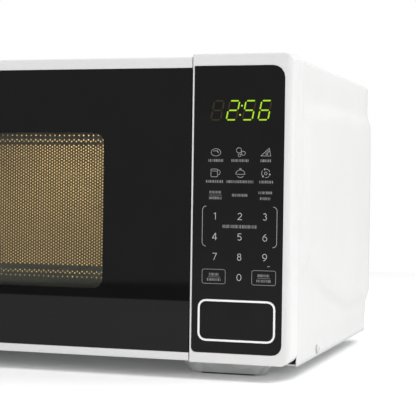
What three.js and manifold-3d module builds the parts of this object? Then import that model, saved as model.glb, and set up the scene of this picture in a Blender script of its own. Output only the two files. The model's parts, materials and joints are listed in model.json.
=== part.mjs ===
// Compact countertop microwave oven. Millimetres, +X to the oven's right, +Y to its back, +Z up.
// The origin is on the surface that the oven stands on, under the middle of its bounding box.
import * as THREE from "three";
import Module from "manifold-3d";
import { mergeVertices } from "three/addons/utils/BufferGeometryUtils.js";
import { ConvexGeometry } from "three/addons/geometries/ConvexGeometry.js";

// ---- Driving dimensions ----
const HALF_WIDTH = 220;
const TOP = 258;
const FRONT = -167;
const REAR = 167;
const CABINET_REAR = 155;
const PLASTIC_BOTTOM = 15;
const CABINET_BOTTOM = 11.5;
const SHEET = 1;
const GAP = 0.3;

// Door and control panel
const SPLIT = 137;
const DOOR_RIGHT = SPLIT - 0.6;
const DOOR_REAR = FRONT + 23.4;
const PLATE_FRONT = FRONT + 24.6;
const PLATE_REAR = PLATE_FRONT + SHEET;
const PLASTIC_WALL = 2.5;
const PANEL = { bottom: 14, top: 260.4 };
const GLASS = { bottom: 21.9, top: 249, thick: 3 };
const WINDOW = { left: -145.3, right: 61.7, bottom: 70, top: 197.6, radius: 8.7 };
const OVERLAY = { left: 138.4, right: 213, bottom: 22.2, top: 250.8, depth: 1.2 };
const BUTTON = { left: 143.9, right: 207.5, bottom: 31.8, top: 65, radius: 6.5, travel: 4 };
const DISPLAY = { left: 148, right: 206, bottom: 202, top: 228 };

// Door hinge line, and the release train behind the front plate
const PIVOT = { x: -HALF_WIDTH + 6, y: FRONT + 14, pin: 3, bore: 3.3 };
const HOOK = { left: 116.5, right: 121.5, levels: [70, 182], height: 8, tip: -127 };
const LEVER = { y: -134, z: 60, shaft: 3, bore: 3.4 };

// Cooking cavity and turntable
const CAVITY = { left: -202, right: 104, bottom: 38, top: 240, back: 147, radius: 6 };
const TURN = { x: -49, y: 5 };
const TRAY = { radius: 127.5, bottom: 52.6, floor: 56.6, rim: 66.5 };
const ROLLER = { radius: 7, width: 7, track: 98, angles: [90, 210, 330] };
const ROLLER_AXIS = CAVITY.bottom + GAP + ROLLER.radius;

// Feet and base
const BASE_BOTTOM = 12;
const BASE_TOP = BASE_BOTTOM + SHEET;
const FOOT = { x: 157, front: -120, rear: 110, width: 82, depth: 36, narrowing: 20, pad: 1 };
const SIDE_SCREW = { y: -69, z: 17.6, shaft: 1.9, head: 4, hole: 2.3 };

// Side emboss: height, and the corners of its foot and of its plateau as [y, z]
const EMBOSS = 4.2;
const EMBOSS_END = CABINET_REAR + 6;
const EMBOSS_FOOT = [[-131, 226], [EMBOSS_END, 230], [EMBOSS_END, 36.5], [45, 37], [-60, 62], [-131, 80]];
const EMBOSS_FLAT = [
  [-119, 205], [-40, 215], [EMBOSS_END, 216], [EMBOSS_END, 54.5], [45, 53], [-50, 74], [-119, 104],
];

// Machine room, right of the cavity
const FAN = { x: 163.5, z: 108.5, bore: 46, front: 112, rear: 140 };
const MAGNETRON = { left: 128.5, right: 183.5, front: -35, rear: 45, bottom: 160, top: 250, y: 5, z: 205 };
const CORE = { left: 122, right: 210, front: -84, rear: -36, bottom: 13.4, top: 84, limb: 15 };
const CORD_INLET = { x: 190, z: 40, neck: 8, flange: 11, bore: 4 };

// ---- Finishes ----
function look(color, roughness, metalness = 0) {
  return new THREE.MeshStandardMaterial({ color, roughness, metalness });
}

const WHITE_PAINT = look(0xf1f1f0, 0.35, 0.1);
const WHITE_PLASTIC = look(0xeeeeec, 0.4);
const BLACK_GLOSS = look(0x141414, 0.08);
const BLACK_PLASTIC = look(0x1c1c1c, 0.5);
const GREY_PLASTIC = look(0x9a9c9a, 0.55);
const ZINC_STEEL = look(0xa8abab, 0.4, 0.8);
const CAVITY_ENAMEL = look(0xb9b7ad, 0.45, 0.1);
const CLEAR_GLASS = look(0xdfe8e6, 0.05);
const COPPER = look(0xb3682f, 0.4, 0.8);
const ALUMINIUM = look(0xc4c6c8, 0.35, 0.9);
const GREEN_BOARD = look(0x2f6b3c, 0.5);
const RUBBER = look(0x3a3a3a, 0.9);
const MICA = look(0xc9b28a, 0.6);

// ---- Solid helpers: manifold-3d joins and cuts what three.js shapes ----
const wasm = await Module();
wasm.setup();

function solidOf(geometry) {
  const bare = geometry.clone();
  bare.deleteAttribute("normal");
  bare.deleteAttribute("uv");
  const welded = mergeVertices(bare, 1e-4);
  const vertProperties = new Float32Array(welded.attributes.position.array);
  const triVerts = new Uint32Array(welded.index.array);
  return new wasm.Manifold(new wasm.Mesh({ numProp: 3, vertProperties, triVerts }));
}

function geometryOf(solid) {
  const mesh = solid.getMesh();
  const geometry = new THREE.BufferGeometry();
  geometry.setAttribute("position", new THREE.BufferAttribute(new Float32Array(mesh.vertProperties), 3));
  geometry.setIndex(new THREE.BufferAttribute(new Uint32Array(mesh.triVerts), 1));
  geometry.computeVertexNormals();
  return geometry;
}

const join = (solids) => solids.reduce((whole, next) => whole.add(next));
const cut = (solid, tools) => tools.reduce((rest, tool) => rest.subtract(tool), solid);

function block([x0, x1], [y0, y1], [z0, z1]) {
  const box = new THREE.BoxGeometry(x1 - x0, y1 - y0, z1 - z0);
  box.translate((x0 + x1) / 2, (y0 + y1) / 2, (z0 + z1) / 2);
  return solidOf(box);
}

// An outline drawn across an axis: as (y, z) for x, (x, z) for y and (x, y) for z.
function prism(axis, outline, from, to) {
  const shape = outline instanceof THREE.Shape ? outline : new THREE.Shape(outline);
  const body = new THREE.ExtrudeGeometry(shape, { depth: to - from, bevelEnabled: false, curveSegments: 2 });
  const [x, y, z] = [new THREE.Vector3(1, 0, 0), new THREE.Vector3(0, 1, 0), new THREE.Vector3(0, 0, 1)];
  const place = new THREE.Matrix4();
  if (axis === "x") place.makeBasis(y, z, x).setPosition(from, 0, 0);
  if (axis === "y") place.makeBasis(x, z, y.clone().negate()).setPosition(0, to, 0);
  if (axis === "z") place.makeBasis(x, y, z).setPosition(0, 0, from);
  return solidOf(body.applyMatrix4(place));
}

// A rectangle with one radius, or with four: lower left, lower right, upper right, upper left.
function rounded(u0, u1, v0, v1, radius) {
  const [ll, lr, ur, ul] = Array.isArray(radius) ? radius : [radius, radius, radius, radius];
  const shape = new THREE.Shape();
  const corner = (u, v, r, start) => {
    if (r > 0) shape.absarc(u, v, r, start, start + Math.PI / 2, false);
    else shape.lineTo(u, v);
  };
  shape.moveTo(u0 + ll, v0);
  corner(u1 - lr, v0 + lr, lr, -Math.PI / 2);
  corner(u1 - ur, v1 - ur, ur, 0);
  corner(u0 + ul, v1 - ul, ul, Math.PI / 2);
  corner(u0 + ll, v0 + ll, ll, Math.PI);
  return shape;
}

function circle(u, v, radius, sides) {
  const points = [];
  for (let i = 0; i < sides; i += 1) {
    const turn = (i / sides) * 2 * Math.PI;
    points.push(new THREE.Vector2(u + radius * Math.cos(turn), v + radius * Math.sin(turn)));
  }
  return points;
}

const rod = (axis, u, v, radius, from, to, sides = 16) => prism(axis, circle(u, v, radius, sides), from, to);

const points2 = (pairs) => pairs.map(([u, v]) => new THREE.Vector2(u, v));

const hull = (points) => solidOf(new ConvexGeometry(points.map(([x, y, z]) => new THREE.Vector3(x, y, z))));

// A profile of [radius, height] turned about the vertical axis. It runs from bottom to top.
function turned(profile, sides = 36) {
  const lathe = new THREE.LatheGeometry(points2(profile), sides);
  return solidOf(lathe.rotateX(Math.PI / 2));
}

// A coil spring along +Z from z = 0.
function coil(radius, wire, length, turns) {
  const steps = turns * 8;
  const points = [];
  for (let i = 0; i <= steps; i += 1) {
    const turn = (i / 8) * 2 * Math.PI;
    points.push(new THREE.Vector3(radius * Math.cos(turn), radius * Math.sin(turn), (length * i) / steps));
  }
  const path = new THREE.CatmullRomCurve3(points);
  const section = new THREE.Shape(circle(0, 0, wire, 5));
  const options = { steps, extrudePath: path, bevelEnabled: false };
  return solidOf(new THREE.ExtrudeGeometry(section, options));
}

// A stamped dome, pressed downwards in local space: a stadium that narrows, mouth up at z = height.
function dome(width, depth, narrowing, height) {
  const ring = (w, d, z) => {
    const outline = [];
    const stadium = rounded(-w / 2, w / 2, -d / 2, d / 2, d / 2);
    for (const point of stadium.getPoints(4)) outline.push([point.x, point.y, z]);
    return outline;
  };
  return hull([...ring(width, depth, height), ...ring(width - narrowing, depth - narrowing, 0)]);
}

// ---- Scene graph ----
const oven = new THREE.Group();

function add(name, solid, material, parent = oven) {
  const mesh = new THREE.Mesh(geometryOf(solid), material);
  mesh.name = name;
  parent.add(mesh);
  return mesh;
}

// ---- Cabinet ----
// The raised field on a side wall, as a solid standing out from x = side.
function sideEmboss(side) {
  const foot = EMBOSS_FOOT.map(([y, z]) => [side, y, z]);
  const root = EMBOSS_FOOT.map(([y, z]) => [side - 2 * Math.sign(side), y, z]);
  const flat = EMBOSS_FLAT.map(([y, z]) => [side + EMBOSS * Math.sign(side), y, z]);
  return hull([...root, ...foot, ...flat]);
}

function outerCabinet() {
  const outside = rounded(-HALF_WIDTH, HALF_WIDTH, CABINET_BOTTOM, TOP, [0, 0, 3.5, 3.5]);
  const inner = HALF_WIDTH - SHEET;
  const inside = rounded(-inner, inner, CABINET_BOTTOM - 5, TOP - SHEET, [0, 0, 2.5, 2.5]);
  const wrap = prism("y", outside, PLATE_FRONT, CABINET_REAR);
  const skin = join([wrap, sideEmboss(HALF_WIDTH), sideEmboss(-HALF_WIDTH)]);
  const length = block([-300, 300], [PLATE_FRONT, CABINET_REAR], [0, 300]);
  const hollow = join([
    prism("y", inside, PLATE_FRONT - 5, CABINET_REAR + 20),
    sideEmboss(inner),
    sideEmboss(-inner),
  ]);
  const holes = rod("x", SIDE_SCREW.y, SIDE_SCREW.z, SIDE_SCREW.hole, -230, 230, 12);
  return cut(skin.intersect(length), [hollow, holes]);
}

function basePlate() {
  const edge = HALF_WIDTH - SHEET - 0.4;
  const [front, rear] = [-140.9, 152.7];
  const solids = [block([-edge, edge], [front, rear], [BASE_BOTTOM, BASE_TOP])];
  for (const side of [-1, 1]) {
    const x = [side * edge, side * (edge - SHEET)].sort((a, b) => a - b);
    solids.push(block(x, [-138, rear - 2], [BASE_BOTTOM, 30]));
  }
  const hollows = [rod("x", SIDE_SCREW.y, SIDE_SCREW.z, SIDE_SCREW.hole, -230, 230, 12)];
  const bottom = FOOT.pad + GAP;
  for (const x of [-FOOT.x, FOOT.x]) {
    for (const y of [FOOT.front, FOOT.rear]) {
      const { width, depth, narrowing } = FOOT;
      const outside = dome(width, depth, narrowing, BASE_BOTTOM - bottom + 0.5);
      const inside = dome(width - 2, depth - 2, narrowing, BASE_BOTTOM - bottom + 1);
      solids.push(outside.translate([x, y, bottom]));
      hollows.push(inside.translate([x, y, bottom + SHEET]));
    }
  }
  for (const x of [-54, 54]) {
    solids.push(dome(48, 26, 10, 6.5).translate([x, -81, BASE_BOTTOM - 6]));
    hollows.push(dome(46, 24, 10, 7).translate([x, -81, BASE_BOTTOM - 5]));
  }
  for (let x = 120; x <= 200; x += 16) {
    hollows.push(block([x, x + 5], [128, 148], [BASE_BOTTOM - 1, BASE_TOP + 1]));
  }
  return cut(join(solids), hollows);
}

function rearPanel() {
  const [front, rear] = [CABINET_REAR - 2, CABINET_REAR - 1];
  const edge = HALF_WIDTH - SHEET - 0.4;
  const sheet = prism("y", rounded(-edge, edge, 13.3, TOP - SHEET - 0.4, [0, 0, 2.2, 2.2]), front, rear);
  const stand = REAR - rear;
  const outward = (w, d, height, y) => dome(w, d, 14, height).rotate([90, 0, 0]).translate([0, y, 0]);
  const solids = [sheet];
  const hollows = [rod("y", CORD_INLET.x, CORD_INLET.z, CORD_INLET.neck + 0.4, front - 1, rear + 1)];
  for (const x of [-140, 140]) {
    solids.push(outward(64, 30, stand + 0.5, REAR).translate([x, 0, 205]));
    hollows.push(outward(62, 28, stand + 1, REAR - SHEET).translate([x, 0, 205]));
  }
  for (let x = 129; x <= 200; x += 12) {
    for (const z of [72, 112]) hollows.push(block([x, x + 4], [front - 1, rear + 1], [z, z + 32]));
  }
  for (let x = -190; x <= -140; x += 12) {
    hollows.push(block([x, x + 4], [front - 1, rear + 1], [150, 182]));
  }
  return cut(join(solids), hollows);
}

// A pan-head screw along +X, its head outwards.
function panScrew() {
  const shaft = rod("x", 0, 0, SIDE_SCREW.shaft, -8, 0.5, 10);
  const head = join([
    rod("x", 0, 0, SIDE_SCREW.head, 0, 1.4),
    rod("x", 0, 0, SIDE_SCREW.head - 0.9, 1, 2.2),
  ]);
  const cross = join([
    block([1.2, 3], [-2.2, 2.2], [-0.45, 0.45]),
    block([1.2, 3], [-0.45, 0.45], [-2.2, 2.2]),
  ]);
  return cut(join([shaft, head]), [cross]);
}

function addCabinet() {
  add("outer_cabinet", outerCabinet(), WHITE_PAINT);
  add("base_plate", basePlate(), ZINC_STEEL);
  add("rear_panel", rearPanel(), ZINC_STEEL);
  for (const [end, y] of [["front", FOOT.front], ["rear", FOOT.rear]]) {
    for (const [side, x] of [["left", -FOOT.x], ["right", FOOT.x]]) {
      const pad = prism("z", rounded(-24, 24, -6, 6, 6), 0, FOOT.pad);
      add(`foot_pad_${end}_${side}`, pad, RUBBER).position.set(x, y, 0);
    }
  }
  const right = add("side_screw_right", panScrew(), ZINC_STEEL);
  right.position.set(HALF_WIDTH + GAP, SIDE_SCREW.y, SIDE_SCREW.z);
  const left = add("side_screw_left", panScrew(), ZINC_STEEL);
  left.position.set(-HALF_WIDTH - GAP, SIDE_SCREW.y, SIDE_SCREW.z);
  left.rotation.z = Math.PI;
}

// ---- Front plate, hinge brackets and cavity ----
const hookSlot = (z0, z1, from, to) => block([HOOK.left - 2, HOOK.right + 2.3], [from, to], [z0, z1]);

function frontFrame() {
  const edge = HALF_WIDTH - SHEET - 0.4;
  const outline = rounded(-edge, edge, 13.3, TOP - SHEET - 0.6, [0, 0, 3, 3]);
  const plate = prism("y", outline, PLATE_FRONT, PLATE_REAR);
  const mouth = rounded(CAVITY.left, CAVITY.right, CAVITY.bottom, CAVITY.top, CAVITY.radius);
  const through = [PLATE_FRONT - 1, PLATE_REAR + 1];
  const tongueSlots = [[17.2, 19.8], [253.2, 260]];
  return cut(plate, [
    prism("y", mouth, ...through),
    ...HOOK.levels.map((level) => hookSlot(level - 6, level + 14, ...through)),
    block([158, 190], through, [38, 58]),
    block([206, 220], through, [13, 24]),
    rod("y", 180, 150, 9, ...through),
    ...tongueSlots.map((z) => block([-230, PIVOT.x + 5], through, z)),
  ]);
}

// Tongue and pin of a hinge bracket. up is +1 for the lower bracket, whose pin points up.
function hingeBracket(tongueBottom, up) {
  const tongue = rounded(PIVOT.x - 4.6, PIVOT.x + 4.6, PIVOT.y - 4.6, -139.6, [4.5, 4.5, 0, 0]);
  const tongueTop = tongueBottom + 2;
  const pinEnds = up > 0 ? [tongueTop - 0.5, tongueTop + 8] : [tongueBottom - 8, tongueBottom + 0.5];
  const plateEnds = up > 0 ? [15, 45] : [226, tongueTop];
  return join([
    prism("z", tongue, tongueBottom, tongueTop),
    rod("z", PIVOT.x, PIVOT.y, PIVOT.pin, ...pinEnds, 16),
    block([-218.5, -205.5], [PLATE_REAR + GAP, PLATE_REAR + GAP + 1.5], plateEnds),
  ]);
}

function cavityShell() {
  const { left, right, bottom, top, back, radius } = CAVITY;
  const outside = rounded(left - SHEET, right + SHEET, bottom - SHEET, top + SHEET, radius + SHEET);
  const shell = prism("y", outside, PLATE_REAR + GAP, back + SHEET);
  const inside = prism("y", rounded(left, right, bottom, top, radius), PLATE_REAR - 5, back);
  const wall = [right - 1, right + 2];
  const holes = [rod("z", TURN.x, TURN.y, 5, bottom - 3, bottom + 3, 16), block(wall, [-32, 32], [160, 215])];
  for (let i = 0; i < 3; i += 1) {
    for (let j = 0; j < 3; j += 1) {
      holes.push(rod("x", 84 + 6 * i, 209 + 6 * j, 2, ...wall, 6));
      holes.push(rod("x", -78 + 6 * i, 209 + 6 * j, 2, ...wall, 6));
    }
  }
  return cut(shell, [inside, ...holes]);
}

function addChassis() {
  add("front_frame", frontFrame(), ZINC_STEEL);
  add("lower_hinge_bracket", hingeBracket(17.5, 1), ZINC_STEEL);
  add("upper_hinge_bracket", hingeBracket(253.5, -1), ZINC_STEEL);
  add("cavity_shell", cavityShell(), CAVITY_ENAMEL);
}

// ---- Door ----
function doorEnvelope() {
  const section = rounded(FRONT, DOOR_REAR, PLASTIC_BOTTOM, TOP, [1.5, 0, 0, 1.5]);
  const plan = [
    [-HALF_WIDTH, FRONT + 2], [-HALF_WIDTH + 2, FRONT], [DOOR_RIGHT, FRONT], [DOOR_RIGHT, DOOR_REAR],
    [-HALF_WIDTH + 3, DOOR_REAR], [-HALF_WIDTH, DOOR_REAR - 2],
  ];
  const bar = prism("x", section, -HALF_WIDTH, DOOR_RIGHT);
  return bar.intersect(prism("z", points2(plan), PLASTIC_BOTTOM, TOP));
}

const WEB_FRONT = FRONT + GLASS.thick + GAP;
const WEB_REAR = WEB_FRONT + 3;

function doorFrame() {
  const [left, right] = [-HALF_WIDTH + PLASTIC_WALL, DOOR_RIGHT - PLASTIC_WALL];
  const inner = { left, right, bottom: PLASTIC_BOTTOM + PLASTIC_WALL, top: TOP - PLASTIC_WALL };
  const bossSpan = [[inner.left - 1, -205.5], [WEB_REAR - 1, DOOR_REAR + 1]];
  const pocket = cut(block([inner.left, inner.right], [WEB_REAR, DOOR_REAR + 1], [inner.bottom, inner.top]), [
    block(...bossSpan, [inner.bottom - 1, 32]),
    block(...bossSpan, [240, inner.top + 1]),
  ]);
  const opening = rounded(WINDOW.left - 4.7, WINDOW.right + 4.7, WINDOW.bottom - 5, WINDOW.top + 5, 8);
  const slotSpan = [[-HALF_WIDTH - 1, PIVOT.x + 6.3], [WEB_REAR + GAP, DOOR_REAR + 1]];
  const hollow = cut(doorEnvelope(), [
    block([-230, 150], [FRONT - 1, WEB_FRONT], [GLASS.bottom - GAP, GLASS.top + GAP]),
    pocket,
    prism("y", opening, WEB_FRONT - 1, WEB_REAR + 1),
    block(...slotSpan, [17.2, 19.8]),
    block(...slotSpan, [253.2, 255.8]),
    rod("z", PIVOT.x, PIVOT.y, PIVOT.bore, 18, 29, 16),
    rod("z", PIVOT.x, PIVOT.y, PIVOT.bore, 243, 255, 16),
  ]);
  const guides = [block([114, 124], [WEB_REAR - 1, -149], [29, 35.7])];
  for (const z of [110, 140]) {
    guides.push(block([HOOK.left - 3.3, HOOK.left - 0.4], [WEB_REAR - 1, -150], [z, z + 12]));
    guides.push(block([HOOK.right + 0.4, HOOK.right + 3.3], [WEB_REAR - 1, -150], [z, z + 12]));
  }
  return join([hollow, ...guides]);
}

function doorGlass() {
  const plan = [
    [-HALF_WIDTH, FRONT + 0.8], [-HALF_WIDTH + 0.8, FRONT],
    [DOOR_RIGHT - 0.6, FRONT], [DOOR_RIGHT, FRONT + 0.6],
    [DOOR_RIGHT, FRONT + GLASS.thick], [-HALF_WIDTH, FRONT + GLASS.thick],
  ];
  return prism("z", points2(plan), GLASS.bottom, GLASS.top);
}

// Steel inner door panel: a sheet behind the window with a choke flange turned back all round.
function doorScreen() {
  const [front, flangeEnd] = [-155.4, -147.2];
  const outer = rounded(-203, 110, 24, 249, 4);
  const inner = rounded(-202, 109, 25, 248, 3);
  return cut(prism("y", outer, front, flangeEnd), [prism("y", inner, front + SHEET, flangeEnd + 1)]);
}

function chokeCover() {
  const ring = prism("y", rounded(-204, 133.4, 18.2, 254.8, 3), -146.9, DOOR_REAR - GAP);
  const opening = rounded(WINDOW.left - 12.7, WINDOW.right + 12.8, WINDOW.bottom - 13, WINDOW.top + 12.9, 8);
  return cut(ring, [
    prism("y", opening, -150, -140),
    ...HOOK.levels.map((level) => hookSlot(level - 4, level + 14, -150, -140)),
  ]);
}

// One hook as an outline of [y, z] above its level, with the barb under its tip.
function hookOutline(level) {
  const { tip, height } = HOOK;
  const pairs = [
    [-151, 0], [tip - 4.5, 0], [tip - 4.5, -2], [tip - 2.5, -2], [tip, 2], [tip, height - 3],
    [tip - 4, height], [-151, height],
  ];
  return points2(pairs.map(([y, z]) => [y, level + z]));
}

function latchHooks() {
  const bar = block([HOOK.left, HOOK.right], [-157, -150], [62, 196]);
  return join([bar, ...HOOK.levels.map((level) => prism("x", hookOutline(level), HOOK.left, HOOK.right))]);
}

function addDoor() {
  const door = new THREE.Group();
  door.name = "door";
  add("door_frame", doorFrame(), WHITE_PLASTIC, door);
  add("door_glass", doorGlass(), BLACK_GLOSS, door);
  add("door_screen", doorScreen(), ZINC_STEEL, door);
  add("door_film", prism("y", rounded(-165, 81, 50, 217, 4), -154.1, -153.7), CLEAR_GLASS, door);
  add("choke_cover", chokeCover(), BLACK_PLASTIC, door);
  add("latch_hooks", latchHooks(), GREY_PLASTIC, door);
  add("latch_spring", coil(2.6, 0.45, 24.4, 6), ZINC_STEEL, door).position.set(119, -153.5, 36.6);
  oven.add(door);
}

// ---- Control panel ----
function panelFrame() {
  const { bottom: low, top: high } = PANEL;
  const plan = rounded(SPLIT, HALF_WIDTH, FRONT, PLATE_FRONT - GAP, [0.8, 5, 0, 0]);
  const section = rounded(FRONT, PLATE_FRONT - GAP, low, high, [1.5, 0, 0, 1.5]);
  const outline = (y, upperCorner) => {
    const face = rounded(SPLIT, HALF_WIDTH, low, high, [0, 9, upperCorner, 0]);
    return face.getPoints(4).map((point) => [point.x, y, point.y]);
  };
  const envelope = hull([...outline(FRONT, 10), ...outline(PLATE_FRONT - GAP, 3.5)])
    .intersect(prism("z", plan, low, high))
    .intersect(prism("x", section, SPLIT, HALF_WIDTH));
  const floor = FRONT + OVERLAY.depth;
  const wallBack = floor + PLASTIC_WALL;
  const hollow = rounded(SPLIT + 2.5, HALF_WIDTH - 2.5, wallBack, PLATE_FRONT + 2, [0, 2.5, 0, 0]);
  const recess = rounded(OVERLAY.left, OVERLAY.right, OVERLAY.bottom, OVERLAY.top, [4, 8, 10, 0.5]);
  const { left, right, bottom, top, radius } = BUTTON;
  const buttonHole = rounded(left - 0.4, right + 0.4, bottom - 0.4, top + 0.4, radius + 0.4);
  const display = [[DISPLAY.left - 1, DISPLAY.right + 1], [DISPLAY.bottom - 1, DISPLAY.top + 1]];
  const shell = cut(envelope, [
    prism("z", hollow, low + PLASTIC_WALL, high - PLASTIC_WALL),
    prism("y", recess, FRONT - 1, floor),
    prism("y", buttonHole, FRONT - 1, wallBack + 1),
    block(display[0], [FRONT, wallBack + 1], display[1]),
  ]);
  const posts = [];
  for (const x of [145, 209]) {
    for (const z of [78, 236]) posts.push(rod("y", x, z, 3, wallBack - 0.5, -157.3, 12));
  }
  return join([shell, ...posts]);
}

function membraneKeypad() {
  const { left, right, bottom, top } = OVERLAY;
  const sheet = rounded(left + GAP, right - GAP, bottom + GAP, top - GAP, [3.7, 7.7, 9.7, 0.3]);
  const hole = rounded(BUTTON.left - 0.4, BUTTON.right + 0.4, BUTTON.bottom - 0.4, BUTTON.top + 0.4, 6.9);
  const front = FRONT + 0.4;
  return cut(prism("y", sheet, front, front + 0.5), [prism("y", hole, front - 1, front + 2)]);
}

function controlBoard() {
  return join([
    block([142, 212], [-157, -155.4], [72, 240]),
    block([148, 168], [-156, -145.5], [88, 108]),
    block([178, 204], [-156, -146.5], [82, 112]),
    block([150, 200], [-156, -148], [150, 158]),
    rod("y", 160, 130, 8, -156, -148.5, 16),
    rod("y", 185, 130, 5, -156, -144.5, 12),
    block([150, 180], [-156, -150], [215, 221]),
  ]);
}

function releaseButton() {
  const { left, right, bottom, top, radius } = BUTTON;
  const ring = (inset, r) => rounded(left + inset, right - inset, bottom + inset, top - inset, r);
  const cup = cut(prism("y", ring(0, radius), FRONT, -150), [
    prism("y", ring(2, radius - 2), FRONT + 3.2, -149),
    prism("y", ring(1.5, radius - 1.5), FRONT - 1, FRONT + 0.9),
  ]);
  const flange = prism("y", ring(-1.6, radius + 1.6), -162.9, -161.4);
  const lip = cut(flange, [prism("y", ring(1, radius - 1), -164, -160)]);
  const stem = block([170, 178], [FRONT + 2.5, -145], [44, 52]);
  return join([cup, lip, stem]);
}

function buttonInlay() {
  const { left, right, bottom, top, radius } = BUTTON;
  const inlay = rounded(left + 1.7, right - 1.7, bottom + 1.7, top - 1.7, radius - 1.7);
  return prism("y", inlay, FRONT + 0.25, FRONT + 0.6);
}

function addPanel() {
  const panel = new THREE.Group();
  panel.name = "control_panel";
  add("panel_frame", panelFrame(), WHITE_PLASTIC, panel);
  add("membrane_keypad", membraneKeypad(), BLACK_GLOSS, panel);
  add("control_board", controlBoard(), GREEN_BOARD, panel);
  const { left, right, bottom, top } = DISPLAY;
  add("display_module", block([left, right], [-165.2, -157.3], [bottom, top]), BLACK_PLASTIC, panel);
  add("release_button", releaseButton(), WHITE_PLASTIC, panel);
  add("button_inlay", buttonInlay(), BLACK_GLOSS, panel);
  const spring = add("button_spring", coil(4.5, 0.5, 19.4, 5), ZINC_STEEL, panel);
  spring.position.set(197, -162.7, 48);
  spring.rotation.x = -Math.PI / 2;
  oven.add(panel);
}

// ---- Door interlock ----
function interlockBracket() {
  const flange = block([108, 128], [PLATE_REAR + GAP, -138.6], [34, 206]);
  const rail = block([108, 192], [PLATE_REAR + GAP, -128], [30, 34.5]);
  const sidePlate = block([126, 128.5], [PLATE_REAR + GAP, -95], [34, 206]);
  const lug = block([189.5, 192], [PLATE_REAR + GAP, -128], [34, 66]);
  const pivotHole = rod("x", LEVER.y, LEVER.z, LEVER.bore, 120, 195, 16);
  const slots = HOOK.levels.map((level) => hookSlot(level - 2.4, level + 12, PLATE_REAR - 1, -136));
  return cut(join([flange, rail, sidePlate, lug]), [pivotHole, ...slots]);
}

function releaseLever() {
  const { y, z, shaft } = LEVER;
  return join([
    rod("x", y, z, shaft, 110, 191, 16),
    block([HOOK.left, HOOK.right], [y, y + 10], [z, z + 7.6]),
    block([164, 184], [y - 2, y + 1.5], [z - 13, z]),
    block([164, 184], [y - 8.2, y], [z - 14, z - 10]),
    rod("x", y - 8.2, z - 12, 2.5, 164, 184, 16),
  ]);
}

// A snap-action switch, its plunger towards the door.
function microSwitch() {
  const body = block([0, 12.7], [0, 27.5], [0, 15.5]);
  const plunger = block([4.5, 8], [-1.5, 1], [6, 9.5]);
  const blades = [block([4, 8.5], [27, 33], [2, 3]), block([4, 8.5], [27, 33], [12, 13])];
  const holes = [rod("x", 5, 12.5, 1.6, -1, 14, 10), rod("x", 22, 3, 1.6, -1, 14, 10)];
  return cut(join([body, plunger, ...blades]), holes);
}

function addInterlock() {
  add("interlock_bracket", interlockBracket(), BLACK_PLASTIC);
  add("release_lever", releaseLever(), GREY_PLASTIC);
  for (const [name, z] of [["primary", 70], ["monitor", 88], ["secondary", 180]]) {
    add(`${name}_interlock_switch`, microSwitch(), BLACK_PLASTIC).position.set(113, -120.5, z);
  }
}

// ---- Turntable ----
function driveCoupler() {
  const [bottom, top] = [40, 52.2];
  const arm = block([0, 17], [-3.5, 3.5], [bottom, top]);
  const arms = [0, 120, 240].map((turn) => arm.rotate([0, 0, turn]));
  return cut(join([rod("z", 0, 0, 9, bottom, top), ...arms]), [rod("z", 0, 0, 3.35, bottom - 1, 47.5, 16)]);
}

function glassTray() {
  const { radius, bottom, floor, rim } = TRAY;
  const dish = turned([
    [0, bottom], [radius - 15, bottom], [radius - 7, bottom + 3.2], [radius, rim - 2.5], [radius, rim - 0.8],
    [radius - 0.8, rim], [radius - 1.8, rim], [radius - 2.6, rim - 0.8], [radius - 9.5, floor + 3],
    [radius - 16.5, floor], [0, floor],
  ], 40);
  const lug = block([11, 15], [-3, 3], [50, bottom + 1]);
  return join([dish, ...[60, 180, 300].map((turn) => lug.rotate([0, 0, turn]))]);
}

function rollerRing() {
  const [bottom, top] = [ROLLER_AXIS - 3.3, ROLLER_AXIS + 3.7];
  const ring = cut(rod("z", 0, 0, 92, bottom, top, 48), [rod("z", 0, 0, 86, bottom - 1, top + 1, 48)]);
  const axle = rod("x", 0, ROLLER_AXIS, 1.6, 89, 103, 12);
  return join([ring, ...ROLLER.angles.map((turn) => axle.rotate([0, 0, turn]))]);
}

function roller() {
  const half = ROLLER.width / 2;
  const wheel = join([
    rod("x", 0, 0, ROLLER.radius, -half + 0.8, half - 0.8, 24),
    rod("x", 0, 0, ROLLER.radius - 0.8, -half, half, 24),
  ]);
  return cut(wheel, [rod("x", 0, 0, 2, -half - 1, half + 1, 12)]);
}

function turntableMotor() {
  const [bottom, top] = [22.5, CAVITY.bottom - SHEET - GAP];
  return join([
    rod("z", 0, 0, 24.5, bottom, top, 32),
    rod("z", 0, 0, 4.2, top - 1, top + 1.6, 16),
    rod("z", 0, 0, 3, top, 47, 16),
    block([-34, 34], [-6, 6], [top - 1.2, top]),
    block([-9, 9], [-34, -20], [bottom + 3, top - 2]),
  ]);
}

function addTurntable() {
  const turntable = new THREE.Group();
  turntable.name = "turntable";
  turntable.position.set(TURN.x, TURN.y, 0);
  add("turntable_motor", turntableMotor(), ZINC_STEEL, turntable);
  add("drive_coupler", driveCoupler(), WHITE_PLASTIC, turntable);
  add("glass_tray", glassTray(), CLEAR_GLASS, turntable);
  add("roller_ring", rollerRing(), WHITE_PLASTIC, turntable);
  ROLLER.angles.forEach((degrees, i) => {
    const turn = THREE.MathUtils.degToRad(degrees);
    const wheel = add(`tray_roller_${i + 1}`, roller(), WHITE_PLASTIC, turntable);
    wheel.position.set(ROLLER.track * Math.cos(turn), ROLLER.track * Math.sin(turn), ROLLER_AXIS);
    wheel.rotation.z = turn;
  });
  oven.add(turntable);
}

// ---- Microwave source ----
function waveguide() {
  const [left, right] = [CAVITY.right + SHEET + GAP, MAGNETRON.left - GAP];
  return cut(block([left, right], [-40, 46], [152, 250]), [
    block([left - 1, right - SHEET], [-39, 45], [153, 249]),
    rod("x", MAGNETRON.y, MAGNETRON.z, 12, right - 2, right + 1),
  ]);
}

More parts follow.
